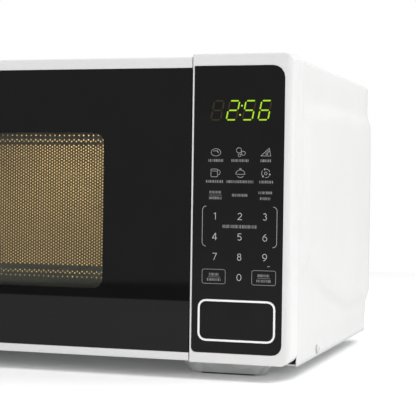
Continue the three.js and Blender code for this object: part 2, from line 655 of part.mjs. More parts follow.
function magnetronYoke() {
  const { left, right, front, rear, bottom, top, y, z } = MAGNETRON;
  return cut(block([left, right], [front, rear], [bottom, top]), [
    block([left + 2, right - 2], [front - 1, rear + 1], [bottom + 2, top - 2]),
    rod("x", y, z, 12, left - 1, left + 3),
    rod("x", y, z, 14, right - 3, right + 1),
  ]);
}

function magnetronAnode() {
  const { left, right, y, z } = MAGNETRON;
  const [near, far] = [left + 2.4, right - 2.4];
  const solids = [
    rod("x", y, z, 17, near, far),
    rod("x", y, z, 27, near, near + 9),
    rod("x", y, z, 27, far - 9, far),
    rod("x", y, z, 7, CAVITY.right + 6, near + 1, 16),
  ];
  for (let x = near + 12; x < far - 10; x += 5.6) {
    solids.push(block([x, x + 0.8], [y - 36, y + 36], [z - 36, z + 36]));
  }
  return join(solids);
}

function transformerCore() {
  const { left, right, front, rear, bottom, top, limb } = CORE;
  const [windowBottom, windowTop] = [bottom + limb, top - limb];
  const through = [front - 1, rear + 1];
  const core = cut(block([left, right], [front, rear], [bottom, top]), [
    block([left + limb, left + 2 * limb], through, [windowBottom, windowTop]),
    block([right - 2 * limb, right - limb], through, [windowBottom, windowTop]),
  ]);
  return join([core, block([left - 8, right + 6], [front + 4, rear - 4], [bottom, bottom + 1.6])]);
}

function transformerWindings() {
  const { left, right, front, rear, bottom, top, limb } = CORE;
  const hole = [[left + 2 * limb - GAP, right - 2 * limb + GAP], [front - GAP, rear + GAP]];
  const height = [bottom + limb + GAP, top - limb - GAP];
  const plan = rounded(left + limb + GAP, right - limb - GAP, front - 13, rear + 13, 9);
  return cut(prism("z", plan, ...height), [block(...hole, [0, 100])]);
}

function highVoltageCapacitor() {
  const can = prism("y", rounded(118, 168, 15, 47, 15.9), 24, 110);
  const blades = [block([128, 129], [15, 25], [26, 36]), block([157, 158], [15, 25], [26, 36])];
  return join([can, ...blades]);
}

function capacitorClamp() {
  const strap = cut(prism("y", rounded(116.7, 169.3, 13.4, 48.6, 16), 60, 72), [
    prism("y", rounded(117.7, 168.3, 14.7, 47.3, 15.9), 59, 73),
  ]);
  return join([strap, block([140, 184], [60, 72], [13.3, 14.6])]);
}

function addMicrowaveSource() {
  const { right, front, y } = MAGNETRON;
  add("waveguide", waveguide(), ZINC_STEEL);
  add("waveguide_cover", block([103.2, 103.7], [-38, 38], [154, 221]), MICA);
  add("magnetron_yoke", magnetronYoke(), ZINC_STEEL);
  add("magnetron_anode", magnetronAnode(), ALUMINIUM);
  const filter = join([
    block([right + GAP, 212], [y - 32, y + 32], [178, 236]),
    block([195, 205], [y - 38, y - 31], [190, 204]),
  ]);
  add("magnetron_filter_box", filter, ZINC_STEEL);
  const cutout = join([
    rod("y", 156, 205, 9, front - GAP - 2, front - GAP),
    rod("y", 156, 205, 7.5, front - GAP - 8, front - GAP - 1),
  ]);
  add("magnetron_cutout", cutout, BLACK_PLASTIC);
  add("transformer_core", transformerCore(), ZINC_STEEL);
  add("transformer_windings", transformerWindings(), COPPER);
  add("capacitor", highVoltageCapacitor(), ALUMINIUM);
  add("capacitor_clamp", capacitorClamp(), ZINC_STEEL);
  const diode = join([rod("y", 187, 27, 4, 30, 46, 12), rod("y", 187, 27, 0.8, 18, 62, 8)]);
  add("high_voltage_diode", diode, BLACK_PLASTIC);
}

// ---- Cooling and wiring ----
function fanHousing() {
  const { x, z, bore, front, rear } = FAN;
  const reach = bore + 6.5;
  const frame = cut(block([x - reach, x + reach], [front, rear], [z - reach, z + reach]), [
    rod("y", x, z, bore, front - 1, rear + 1, 40),
  ]);
  const bar = cut(block([x - bore - 1, x + bore + 1], [front, front + 3], [z - 5, z + 5]), [
    rod("y", x, z, 3.6, front - 1, front + 4, 12),
  ]);
  return join([frame, bar]);
}

function fanBlade() {
  const hub = cut(rod("y", 0, 0, 10, 117, 137, 24), [rod("y", 0, 0, 2.7, 110, 135, 12)]);
  const paddle = block([8, 43], [-11, 11], [-0.8, 0.8]).rotate([38, 0, 0]).translate([0, 127, 0]);
  const blades = [0, 1, 2, 3, 4].map((i) => paddle.rotate([0, 72 * i, 0]));
  return join([hub, ...blades]);
}

function fanMotor() {
  const { x, z, front } = FAN;
  return join([
    block([x - 22, x + 22], [front - 22, front - GAP], [z - 22, z + 22]),
    block([x - 14, x + 14], [front - 20, front - 2], [z + 21, z + 36]),
    rod("x", front - 11, z + 36, 10, x - 14, x + 14, 16),
    rod("y", x, z, 2.2, front - 1, 134, 12),
  ]);
}

function airDuct() {
  return cut(block([105.5, 180], [-92, -45.5], [196, 248]), [block([100, 178], [-90, -40], [198, 246])]);
}

function noiseFilterBoard() {
  return join([
    block([116, 214], [146, 147.6], [172, 244]),
    block([124, 146], [130, 147], [184, 206]),
    block([156, 186], [128, 147], [182, 210]),
    rod("y", 170, 228, 12, 134, 147, 24),
    rod("x", 143.5, 232, 3.5, 124, 148, 12),
    block([196, 208], [134, 147], [186, 200]),
  ]);
}

// Lamp: a bulb with a bayonet base along +X, its glass towards the cavity wall.
function ovenLamp() {
  const bulb = turned([[0, 0], [5, 1.2], [9, 5], [9.8, 10], [8, 16], [6, 20], [6, 34], [0, 34]], 20);
  return bulb.rotate([0, 90, 0]);
}

function cordBushing() {
  const { neck, flange, bore } = CORD_INLET;
  const ring = (from, to, radius) => rod("y", 0, 0, radius, from, to, 24);
  const sleeve = join([ring(148, 159, neck), ring(154.3, 158.5, flange), ring(149.5, 152.7, flange - 1.5)]);
  return cut(sleeve, [ring(140, 170, bore)]);
}

function addCoolingAndWiring() {
  add("fan_housing", fanHousing(), BLACK_PLASTIC);
  add("fan_motor", fanMotor(), ZINC_STEEL);
  add("fan_blade", fanBlade(), GREY_PLASTIC).position.set(FAN.x, 0, FAN.z);
  add("air_duct", airDuct(), GREY_PLASTIC);
  add("oven_lamp", ovenLamp(), CLEAR_GLASS).position.set(CAVITY.right + SHEET + 2, 90, 215);
  add("noise_filter_board", noiseFilterBoard(), GREEN_BOARD);
  add("cord_bushing", cordBushing(), BLACK_PLASTIC).position.set(CORD_INLET.x, 0, CORD_INLET.z);
}

addCabinet();
addChassis();
addDoor();
addPanel();
addInterlock();
addTurntable();
addMicrowaveSource();
addCoolingAndWiring();

export default oven;
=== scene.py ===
"""Looks of a compact countertop microwave oven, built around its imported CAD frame. Metres, +Z up."""
import json
import math
import random

import bpy
import numpy as np
from mathutils import Matrix, Vector


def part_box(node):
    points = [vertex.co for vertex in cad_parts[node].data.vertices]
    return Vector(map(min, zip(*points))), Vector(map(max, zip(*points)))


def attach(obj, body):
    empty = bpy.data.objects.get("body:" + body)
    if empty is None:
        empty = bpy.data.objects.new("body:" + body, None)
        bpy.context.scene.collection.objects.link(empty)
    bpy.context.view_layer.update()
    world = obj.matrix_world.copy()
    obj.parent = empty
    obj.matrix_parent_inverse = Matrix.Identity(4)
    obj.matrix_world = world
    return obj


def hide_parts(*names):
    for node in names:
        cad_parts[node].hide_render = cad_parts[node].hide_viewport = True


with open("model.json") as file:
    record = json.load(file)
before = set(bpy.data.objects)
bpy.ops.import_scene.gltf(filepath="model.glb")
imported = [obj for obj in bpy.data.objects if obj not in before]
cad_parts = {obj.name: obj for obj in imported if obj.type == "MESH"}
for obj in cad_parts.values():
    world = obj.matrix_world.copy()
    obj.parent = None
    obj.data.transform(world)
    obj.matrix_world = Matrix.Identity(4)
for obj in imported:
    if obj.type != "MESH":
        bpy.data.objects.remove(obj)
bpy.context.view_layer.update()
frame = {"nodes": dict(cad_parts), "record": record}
NODES = frame["nodes"]
MM = 0.001
SCENE = bpy.context.scene


# ---------------------------------------------------------------- node helpers
class Shade:
    """A material under construction: its node tree, its Principled shader and a few shortcuts."""

    def __init__(self, name, color, roughness, metallic=0.0, **sockets):
        self.material = bpy.data.materials.new(name)
        self.material.use_nodes = True
        self.tree = self.material.node_tree
        self.surface = self.tree.nodes["Principled BSDF"]
        self.surface.inputs["Base Color"].default_value = (*color, 1)
        self.surface.inputs["Roughness"].default_value = roughness
        self.surface.inputs["Metallic"].default_value = metallic
        for socket, value in sockets.items():
            self.surface.inputs[socket.replace("_", " ")].default_value = value
        self.place = self.tree.nodes.new("ShaderNodeTexCoord").outputs["Object"]

    def node(self, kind, **values):
        made = self.tree.nodes.new(kind)
        for key, value in values.items():
            if key in made.inputs:
                made.inputs[key].default_value = value
            else:
                setattr(made, key, value)
        return made

    def link(self, output, target):
        self.tree.links.new(output, target)
        return self

    def noise(self, scale, detail=2.0, stretch=(1, 1, 1)):
        mapping = self.node("ShaderNodeMapping")
        mapping.inputs["Scale"].default_value = stretch
        made = self.node("ShaderNodeTexNoise")
        made.inputs["Scale"].default_value = scale
        made.inputs["Detail"].default_value = detail
        self.link(self.place, mapping.inputs["Vector"])
        self.link(mapping.outputs["Vector"], made.inputs["Vector"])
        return made.outputs["Fac"]

    def voronoi(self, scale, output="Distance"):
        made = self.node("ShaderNodeTexVoronoi")
        made.inputs["Scale"].default_value = scale
        self.link(self.place, made.inputs["Vector"])
        return made.outputs[output]

    def blend_color(self, factor, low, high, start=0.35, stop=0.65):
        ramp = self.node("ShaderNodeValToRGB")
        ramp.color_ramp.elements[0].position = start
        ramp.color_ramp.elements[0].color = (*low, 1)
        ramp.color_ramp.elements[1].position = stop
        ramp.color_ramp.elements[1].color = (*high, 1)
        self.link(factor, ramp.inputs["Fac"])
        return ramp.outputs["Color"]

    def vary_color(self, factor, low, high, start=0.35, stop=0.65):
        return self.link(self.blend_color(factor, low, high, start, stop), self.surface.inputs["Base Color"])

    def vary_roughness(self, factor, low, high):
        spread = self.node("ShaderNodeMapRange")
        spread.inputs["To Min"].default_value = low
        spread.inputs["To Max"].default_value = high
        self.link(factor, spread.inputs["Value"])
        return self.link(spread.outputs["Result"], self.surface.inputs["Roughness"])

    def bump(self, height, strength, distance=0.0004):
        made = self.node("ShaderNodeBump")
        made.inputs["Strength"].default_value = strength
        made.inputs["Distance"].default_value = distance
        self.link(height, made.inputs["Height"])
        return self.link(made.outputs["Normal"], self.surface.inputs["Normal"])


# ------------------------------------------------------------------- materials
def white_paint():
    shade = Shade("white_powder_paint", (0.64, 0.64, 0.637), 0.5, IOR=1.3)
    shade.vary_color(shade.noise(9), (0.633, 0.633, 0.630), (0.647, 0.647, 0.643))
    shade.vary_roughness(shade.noise(60), 0.46, 0.56)
    return shade.bump(shade.noise(700, 3), 0.05, 0.0003).material


def white_moulding(name, value):
    shade = Shade(name, (value, value, value * 0.994), 0.38)
    low, high = value * 0.99, value * 1.01
    shade.vary_color(shade.noise(14), (low, low, low * 0.996), (high, high, high * 0.995))
    shade.vary_roughness(shade.noise(180), 0.34, 0.43)
    return shade.bump(shade.noise(2600, 2), 0.06, 0.0001).material


def black_glass():
    shade = Shade("black_backed_glass", (0.0022, 0.0022, 0.0023), 0.02, IOR=1.31)
    shade.vary_color(shade.noise(30), (0.002, 0.002, 0.0021), (0.0025, 0.0025, 0.0026))
    return shade.vary_roughness(shade.noise(20, 3), 0.012, 0.03).material


def keypad_film():
    shade = Shade("satin_black_overlay", (0.0035, 0.0035, 0.0036), 0.35, IOR=1.29)
    shade.vary_color(shade.noise(40), (0.0032, 0.0032, 0.0033), (0.004, 0.004, 0.0041))
    shade.vary_roughness(shade.noise(120), 0.32, 0.4)
    return shade.bump(shade.noise(160, 1), 0.03, 0.0002).material


SMUDGED = 2.2  # how much rougher a pane is where it is smudged


def clear_sheet(name, tint, index, roughness=0.01):
    """Thin clear glass or film: light goes straight through, and the surface reflects."""
    shade = Shade(name, tint, roughness)
    tree = shade.tree
    clear = shade.node("ShaderNodeBsdfTransparent")
    clear.inputs["Color"].default_value = (*tint, 1)
    gloss = shade.node("ShaderNodeBsdfGlossy")
    smudge = shade.node("ShaderNodeMapRange")
    smudge.inputs["To Min"].default_value = roughness
    smudge.inputs["To Max"].default_value = roughness * SMUDGED
    shade.link(shade.noise(35, 3), smudge.inputs["Value"])
    shade.link(smudge.outputs["Result"], gloss.inputs["Roughness"])
    fresnel = shade.node("ShaderNodeFresnel")
    fresnel.inputs["IOR"].default_value = index
    mix = shade.node("ShaderNodeMixShader")
    shade.link(fresnel.outputs["Fac"], mix.inputs["Fac"])
    shade.link(clear.outputs["BSDF"], mix.inputs[1])
    shade.link(gloss.outputs["BSDF"], mix.inputs[2])
    tree.nodes.remove(shade.surface)
    shade.link(mix.outputs["Shader"], tree.nodes["Material Output"].inputs["Surface"])
    return shade.material


def black_plastic():
    shade = Shade("black_moulded_plastic", (0.018, 0.018, 0.018), 0.45)
    shade.vary_color(shade.noise(25), (0.015, 0.015, 0.015), (0.022, 0.022, 0.022))
    shade.vary_roughness(shade.noise(200), 0.38, 0.52)
    return shade.bump(shade.noise(1800, 2), 0.15, 0.0001).material


def grey_plastic():
    shade = Shade("grey_moulded_plastic", (0.36, 0.37, 0.36), 0.5)
    shade.vary_color(shade.noise(30), (0.34, 0.35, 0.34), (0.39, 0.40, 0.39))
    return shade.bump(shade.noise(1500, 2), 0.12, 0.0001).material


def ivory_plastic():
    shade = Shade("ivory_moulded_plastic", (0.72, 0.71, 0.67), 0.45)
    shade.vary_color(shade.noise(30), (0.70, 0.69, 0.65), (0.74, 0.73, 0.70))
    return shade.bump(shade.noise(1600, 2), 0.1, 0.0001).material


def zinc_sheet():
    shade = Shade("zinc_coated_sheet", (0.60, 0.61, 0.61), 0.42, 0.35)
    spangle = shade.voronoi(110, output="Color")
    split = shade.node("ShaderNodeSeparateColor")
    shade.link(spangle, split.inputs["Color"])
    shade.vary_color(split.outputs["Red"], (0.56, 0.57, 0.57), (0.64, 0.65, 0.65), 0.2, 0.8)
    shade.vary_roughness(split.outputs["Green"], 0.34, 0.5)
    return shade.bump(shade.noise(260, 3), 0.06, 0.0002).material


def chassis_paint():
    shade = Shade("light_grey_chassis_paint", (0.52, 0.52, 0.50), 0.4, 0.1)
    shade.vary_color(shade.noise(20), (0.50, 0.50, 0.48), (0.55, 0.55, 0.53))
    return shade.bump(shade.noise(800, 2), 0.07, 0.0002).material


def dark_screen_enamel():
    shade = Shade("dark_screen_enamel", (0.060, 0.066, 0.048), 0.5, 0.1)
    shade.vary_color(shade.noise(45), (0.056, 0.062, 0.045), (0.064, 0.070, 0.052))
    return shade.vary_roughness(shade.noise(300), 0.4, 0.6).material


def cavity_enamel():
    shade = Shade("speckled_cavity_enamel", (0.60, 0.57, 0.50), 0.35)
    speckle = shade.voronoi(520)
    shade.vary_color(speckle, (0.42, 0.39, 0.33), (0.63, 0.60, 0.53), 0.05, 0.25)
    shade.vary_roughness(shade.noise(80), 0.28, 0.42)
    return shade.bump(shade.noise(500, 2), 0.06, 0.0002).material


def tray_glass():
    return clear_sheet("turntable_glass", (0.90, 0.95, 0.93), 1.5, 0.02)


def copper_winding():
    shade = Shade("varnished_copper_winding", (0.50, 0.20, 0.07), 0.35, 0.8)
    turns = shade.node("ShaderNodeTexWave", wave_type="BANDS", bands_direction="Z")
    turns.inputs["Scale"].default_value = 160
    shade.link(shade.place, turns.inputs["Vector"])
    shade.vary_color(turns.outputs["Fac"], (0.30, 0.11, 0.03), (0.58, 0.25, 0.09))
    return shade.bump(turns.outputs["Fac"], 0.7, 0.0004).material


def plain_aluminium():
    shade = Shade("plain_aluminium", (0.70, 0.71, 0.72), 0.32, 0.95)
    grain = shade.noise(220, 3, (1, 14, 1))
    shade.vary_roughness(grain, 0.26, 0.44)
    return shade.bump(grain, 0.05, 0.0001).material


def nickel_screw():
    shade = Shade("nickel_plated_steel", (0.75, 0.75, 0.74), 0.3, 0.6)
    shade.vary_roughness(shade.noise(900), 0.2, 0.4)
    return shade.bump(shade.noise(1200), 0.06, 0.0001).material


def circuit_board():
    shade = Shade("green_circuit_board", (0.02, 0.12, 0.05), 0.4)
    tracks = shade.node("ShaderNodeTexBrick")
    tracks.inputs["Scale"].default_value = 90
    tracks.inputs["Color1"].default_value = (0.015, 0.11, 0.045, 1)
    tracks.inputs["Color2"].default_value = (0.02, 0.14, 0.06, 1)
    tracks.inputs["Mortar"].default_value = (0.05, 0.22, 0.09, 1)
    shade.link(shade.place, tracks.inputs["Vector"])
    shade.link(tracks.outputs["Color"], shade.surface.inputs["Base Color"])
    return shade.bump(tracks.outputs["Fac"], 0.2, 0.0001).material


def foot_rubber():
    shade = Shade("black_rubber", (0.025, 0.025, 0.025), 0.8)
    shade.vary_color(shade.noise(60), (0.02, 0.02, 0.02), (0.035, 0.035, 0.035))
    return shade.bump(shade.noise(900, 3), 0.3, 0.0002).material


def mica_sheet():
    shade = Shade("pressed_mica", (0.45, 0.36, 0.22), 0.5)
    shade.vary_color(shade.noise(120, 5), (0.34, 0.27, 0.16), (0.55, 0.46, 0.30))
    return shade.vary_roughness(shade.noise(300), 0.35, 0.65).material


def printed_ink(name, value):
    shade = Shade(name, (value, value, value), 0.55)
    dim = value * 0.9
    return shade.vary_color(shade.noise(300), (dim, dim, dim * 0.99), (value, value, value * 0.99)).material


def lit_segment():
    shade = Shade("lit_segment", (0.02, 0.03, 0.0), 0.4, Emission_Strength=1.0)
    glow = shade.blend_color(shade.noise(400), (0.38, 0.70, 0.003), (0.45, 0.80, 0.004))
    return shade.link(glow, shade.surface.inputs["Emission Color"]).material


def idle_segment():
    shade = Shade("idle_segment", (0.032, 0.025, 0.008), 0.5, IOR=1.29)
    return shade.vary_color(shade.noise(400), (0.030, 0.0235, 0.0075), (0.034, 0.027, 0.0085)).material


MATERIALS = {
    "cabinet_paint": white_paint(),
    "front_plastic": white_moulding("white_moulded_plastic", 0.67),
    "door_glass": clear_sheet("tinted_door_glass", (0.90, 0.90, 0.885), 1.31),
    "keypad_film": keypad_film(),
    "black_plastic": black_plastic(),
    "display_light": black_plastic(),
    "grey_plastic": grey_plastic(),
    "white_plastic": ivory_plastic(),
    "zinc_steel": zinc_sheet(),
    "screen_steel": dark_screen_enamel(),
    "cavity_enamel": cavity_enamel(),
    "clear_glass": tray_glass(),
    "clear_film": clear_sheet("clear_inner_film", (0.93, 0.93, 0.92), 1.3, 0.05),
    "copper": copper_winding(),
    "aluminium": plain_aluminium(),
    "screw_steel": nickel_screw(),
    "circuit_board": circuit_board(),
    "rubber": foot_rubber(),
    "mica": mica_sheet(),
}
BLACK_GLASS = black_glass()
# A brighter copy of the white moulding for the release button: a painted highlight where its raised rim
# catches the light.
BUTTON_PAINTED_HIGHLIGHT = white_moulding("button_plastic_painted_highlight", 0.86)
CHASSIS_PAINT = chassis_paint()
LEGEND_INK = printed_ink("legend_ink", 0.43)
LABEL_INK = printed_ink("label_ink", 0.21)
LIT = lit_segment()
IDLE = idle_segment()


# -------------------------------------------------------------- piece builders
def finish_piece(name, mesh, material, body, replaces=()):
    """Makes an object of a mesh in the frame's coordinates, gives it its material, ties it to its body and
    hides the CAD nodes that it replaces.
    """
    piece = bpy.data.objects.new(name, mesh)
    SCENE.collection.objects.link(piece)
    mesh.materials.clear()
    mesh.materials.append(material)
    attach(piece, body)
    if replaces:
        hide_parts(*replaces)
    return piece


def mesh_of(name, vertices, faces, smooth=False):
    mesh = bpy.data.meshes.new(name)
    mesh.from_pydata([tuple(v) for v in vertices], [], [tuple(f) for f in faces])
    mesh.update()
    if smooth:
        mesh.polygons.foreach_set("use_smooth", [True] * len(mesh.polygons))
    return mesh


def baked_mesh(name, source):
    """The evaluated mesh of a temporary object, which is then removed."""
    SCENE.collection.objects.link(source)
    graph = bpy.context.evaluated_depsgraph_get()
    mesh = bpy.data.meshes.new_from_object(source.evaluated_get(graph))
    mesh.name = name
    bpy.data.objects.remove(source)
    return mesh


def upright(y):
    """Stands a drawing made in the XY plane up at depth y, facing the front."""
    return Matrix.Translation((0, y, 0)) @ Matrix.Rotation(math.pi / 2, 4, "X")


def drawn_mesh(name, loops, front, thickness):
    """A flat body from loops of (x, z) in millimetres: a loop inside another is a hole."""
    curve = bpy.data.curves.new(name, "CURVE")
    curve.dimensions = "2D"
    curve.fill_mode = "BOTH"
    curve.extrude = thickness * MM / 2
    for loop in loops:
        spline = curve.splines.new("POLY")
        spline.points.add(len(loop) - 1)
        spline.points.foreach_set("co", [c for x, z in loop for c in (x * MM, z * MM, 0, 1)])
        spline.use_cyclic_u = True
    mesh = baked_mesh(name, bpy.data.objects.new(name, curve))
    mesh.transform(upright((front + thickness / 2) * MM))
    return mesh


def revolved(profile, sides):
    """Vertices and faces of a closed profile of (radius, height) in millimetres turned about +Z."""
    vertices, faces = [], []
    count = len(profile)
    for i in range(sides):
        turn = 2 * math.pi * i / sides
        for radius, height in profile:
            vertices.append(Vector((radius * math.cos(turn), radius * math.sin(turn), height)) * MM)
    for i in range(sides):
        here, there = i * count, (i + 1) % sides * count
        for j in range(count - 1):
            faces.append((here + j, there + j, there + j + 1, here + j + 1))
    return vertices, faces


def arc(x, z, radius, start, stop, steps, squash=1.0):
    """Points on an arc, its angles in degrees."""
    points = []
    for i in range(steps + 1):
        turn = math.radians(start + (stop - start) * i / steps)
        points.append((x + radius * math.cos(turn), z + radius * squash * math.sin(turn)))
    return points


def ring(x, z, radius, steps=20, squash=1.0):
    return arc(x, z, radius, 0, 360 - 360 / steps, steps - 1, squash)


def rounded(left, right, bottom, top, radius, steps=6):
    """A rectangle with one corner radius, or with four: lower left, lower right, upper right, upper left."""
    ll, lr, ur, ul = radius if isinstance(radius, tuple) else (radius,) * 4
    return (
        arc(left + ll, bottom + ll, ll, 180, 270, steps)
        + arc(right - lr, bottom + lr, lr, 270, 360, steps)
        + arc(right - ur, top - ur, ur, 0, 90, steps)
        + arc(left + ul, top - ul, ul, 90, 180, steps)
    )


def shifted(points, distance, closed):
    """The points moved sideways by a distance, with mitred corners, for the edge of a drawn line."""
    corners = [Vector(point) for point in points]
    last = len(corners) - 1
    moved = []
    for i, here in enumerate(corners):
        before = corners[i - 1] if i or closed else here
        after = corners[(i + 1) % len(corners)] if i < last or closed else here
        arriving = (here - before).normalized()
        leaving = (after - here).normalized()
        along = (arriving + leaving) / (1 + arriving.dot(leaving))
        moved.append((here.x - along.y * distance, here.y + along.x * distance))
    return moved


def line(points, width, closed=False):
    """The loops of a line of one width through the points."""
    one, other = (shifted(points, side * width / 2, closed) for side in (1, -1))
    return [one, other] if closed else [one + other[::-1]]


def soften(name, width, segments):
    """Small rounded edges on a CAD node: its mesh stays, and modifiers round it."""
    piece = NODES[name]
    piece.data.polygons.foreach_set("use_smooth", [True] * len(piece.data.polygons))
    weld = piece.modifiers.new("weld", "WELD")
    weld.merge_threshold = 0.00001
    bevel = piece.modifiers.new("bevel", "BEVEL")
    bevel.width = width * MM
    bevel.segments = segments
    bevel.limit_method = "ANGLE"
    bevel.angle_limit = math.radians(32)
    normals = piece.modifiers.new("normals", "WEIGHTED_NORMAL")
    normals.keep_sharp = True


def dress(name, material):
    slots = NODES[name].data.materials
    slots.clear()
    slots.append(material)


# --------------------------------------------------------- places from the CAD
def mm_box(name):
    """A node's box in millimetres, which every size below is in, apart from the studio's."""
    low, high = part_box(name)
    return low / MM, high / MM


GLASS_LOW, GLASS_HIGH = mm_box("door_glass")
SCREEN_LOW, SCREEN_HIGH = mm_box("door_screen")
CABINET_LOW, CABINET_HIGH = mm_box("outer_cabinet")
TRAY_LOW, TRAY_HIGH = mm_box("glass_tray")
OVERLAY_FRONT = mm_box("membrane_keypad")[0].y
CAVITY_TOP = mm_box("cavity_shell")[1].z


# --------------------------------------------------------------- cabinet sheet
SIDE = 220.0
TOP_RADIUS = 3.5
EMBOSS = CABINET_HIGH.x - SIDE
SHEET = 1.0
# How far the front edge is tucked in at its first rows.
HEM = {0: 0.8, 1: 0.25}

# The raised field rises behind FIELD_FRONT, and between a foot and a crest line of (y, z) below and above.
FIELD_FRONT = -131
FIELD_RISE = 12
FOOT_LINE = [(FIELD_FRONT, 80), (-60, 62), (45, 38), (155, 36.5)]
CREST_LINE = [(-119, 104), (-50, 74), (45, 53), (155, 54.5)]
TOP_FOOT_LINE = [(FIELD_FRONT, 226), (155, 230)]
TOP_CREST_LINE = [(-119, 205), (-40, 215), (155, 216)]
# The shallow step round it: its share of the height, its foot, and the lengths over which it comes and goes.
STEP_SHARE = 0.16
STEP_FOOT = 19
STEP_FOOT_LIFT = 6
STEP_RISE = 14


def ease(t):
    t = min(max(t, 0.0), 1.0)
    return t * t * (3 - 2 * t)


def on_path(y, path):
    """The height of a path of (y, z) corners at depth y."""
    return float(np.interp(y, [p[0] for p in path], [p[1] for p in path]))


def step_height(y, z):
    """The shallow step, from 0 to 1: its foot is higher in front, and it fades out forwards and upwards."""
    foot = STEP_FOOT + STEP_FOOT_LIFT * ease((90 - y) / 200)
    return ease((z - foot) / STEP_RISE) * ease((y + 104) / 90) * ease((226 - z) / 60)


def emboss_height(y, z):
    """How far a side stands out at (y, z)."""
    foot, crest = on_path(y, FOOT_LINE), on_path(y, CREST_LINE)
    top_foot, top_crest = on_path(y, TOP_FOOT_LINE), on_path(y, TOP_CREST_LINE)
    front = (y - FIELD_FRONT) / FIELD_RISE
    low = (z - foot) / max(crest - foot, 1)
    high = (top_foot - z) / max(top_foot - top_crest, 1)
    field = ease(min(front, low, high))
    return EMBOSS * ((1 - STEP_SHARE) * field + STEP_SHARE * step_height(y, z))


def cabinet_profile():
    """Points of the wrap's section as (x, z, side), from the lower left edge over the top."""
    bottom, top = CABINET_LOW.z, CABINET_HIGH.z
    # Close rows where the field rises and falls, and wide ones between.
    wall = np.concatenate([
        np.arange(bottom, 110, 3.0), np.arange(110, 200, 9.0), np.arange(200, 236, 3.0),
        [240, 248, top - TOP_RADIUS],
    ])
    corner = arc(SIDE - TOP_RADIUS, top - TOP_RADIUS, TOP_RADIUS, 0, 90, 6)[1:-1]
    right = [(SIDE, z, 1) for z in wall] + [(x, z, 0) for x, z in corner]
    flat = [(x, top, 0) for x in np.linspace(SIDE - TOP_RADIUS, -(SIDE - TOP_RADIUS), 12)]
    left = [(-x, z, -side) for x, z, side in right]
    return left + flat[::-1] + right[::-1]


def cabinet_point(x, y, z, side, tuck):
    """A point of the wrap in metres, stood out by the field of its side and tucked in at the hem."""
    top = CABINET_HIGH.z
    out = side * emboss_height(y, z) if side else 0.0
    inward = math.copysign(tuck, x) if z < top else 0.0
    down = tuck if z > top - TOP_RADIUS else 0.0
    return Vector((x + out - inward, y, z - down)) * MM


def cabinet_sheet():
    """The wrap with its raised fields, as one sheet that a modifier makes thick."""
    front, rear = CABINET_LOW.y, CABINET_HIGH.y
    rows = np.concatenate([
        [front, front + 0.4, front + 1.2, front + 5], np.arange(front + 8, front + 28, 1.5),
        np.arange(front + 28, rear, 6.0), [rear],
    ])
    profile = cabinet_profile()
    width = len(profile)
    vertices, faces = [], []
    for i, y in enumerate(rows):
        vertices += [cabinet_point(x, y, z, side, HEM.get(i, 0.0)) for x, z, side in profile]
    for i in range(len(rows) - 1):
        for a in range(i * width, (i + 1) * width - 1):
            faces.append((a, a + width, a + width + 1, a + 1))
    mesh = mesh_of("cabinet_sheet", vertices, faces, smooth=True)
    mesh.flip_normals()
    piece = finish_piece("cabinet_sheet", mesh, MATERIALS["cabinet_paint"], "root",
                         ["outer_cabinet"])
    solid = piece.modifiers.new("thickness", "SOLIDIFY")
    solid.thickness = SHEET * MM
    solid.offset = -1


# ------------------------------------------------------------------------ door
WINDOW = {"left": -145.3, "right": 61.7, "bottom": 70.0, "top": 197.6, "radius": 8.7}
GLASS_CORNER = 0.6
GLASS_EDGE = 0.3
WINDOW_GAP = 0.01
SCREEN_SHEET = 0.5
FLANGE_GAP = 0.02


def door_pane():
    """The door glass: black behind its border, and clear at the window."""
    low, high = GLASS_LOW, GLASS_HIGH
    w = WINDOW
    outline = rounded(low.x, high.x, low.z, high.z, GLASS_CORNER, 2)
    window = rounded(w["left"], w["right"], w["bottom"], w["top"], w["radius"], 12)
    thick = high.y - low.y
    border = drawn_mesh("door_glass_border", [outline, window], low.y, thick)
    piece = finish_piece("door_glass_border", border, BLACK_GLASS, "door", ["door_glass"])
    edge = piece.modifiers.new("bevel", "BEVEL")
    edge.width = GLASS_EDGE * MM
    edge.limit_method = "ANGLE"
    edge.angle_limit = math.radians(60)
    clear = drawn_mesh("door_glass_window", [window], low.y + WINDOW_GAP, thick - 2 * WINDOW_GAP)
    finish_piece("door_glass_window", clear, MATERIALS["door_glass"], "door", ["door_glass"])


class SheetOfHoles:
    """Collects the faces of a thin upright sheet with hexagonal holes."""

    def __init__(self, front, thickness, radius):
        self.depths = (front, front + thickness)
        self.hole = arc(0, 0, radius, 30, 330, 5)
        self.vertices, self.faces = [], []

    def plain(self, x0, x1, z0, z1):
        corners = [(x0, z0), (x1, z0), (x1, z1), (x0, z1)]
        base = len(self.vertices)
        for y in self.depths:
            self.vertices += [(x, y, z) for x, z in corners]
        self.faces.append(tuple(base + k for k in range(4)))
        self.faces.append(tuple(base + 4 + k for k in reversed(range(4))))

    def pierced(self, x0, x1, z0, z1, x, z):
        """One cell with a hole at (x, z): front face, back face and the wall of the hole."""
        base = len(self.vertices)
        for y in self.depths:
            self.vertices += [(x0, y, z0), (x1, y, z0), (x1, y, z1), (x0, y, z1)]
            self.vertices += [(x + u, y, z + v) for u, v in self.hole]
        # The hole's corners at 30, 90, 150, 210, 270 and 330 degrees are 4 to 9 after the cell's own four.
        front = [(0, 1, 9, 8), (1, 2, 4, 9), (2, 3, 6, 5), (3, 0, 8, 7), (2, 5, 4), (3, 7, 6)]
        for face in front:
            self.faces.append(tuple(base + k for k in face))
            self.faces.append(tuple(base + 10 + k for k in reversed(face)))
        for k in range(6):
            a, b = base + 4 + k, base + 4 + (k + 1) % 6
            self.faces.append((a, b, b + 10, a + 10))

    def mesh(self, name):
        return mesh_of(name, [Vector(v) * MM for v in self.vertices], self.faces)


HOLE_COLUMN = 2.16
HOLE_ROW = 2.535
HOLE_RADIUS = 0.75
DENSE_TOP = 188.5
DENSE_ROWS = 40
FIELD_LEFT = -152.0
FIELD_COLUMNS = 100
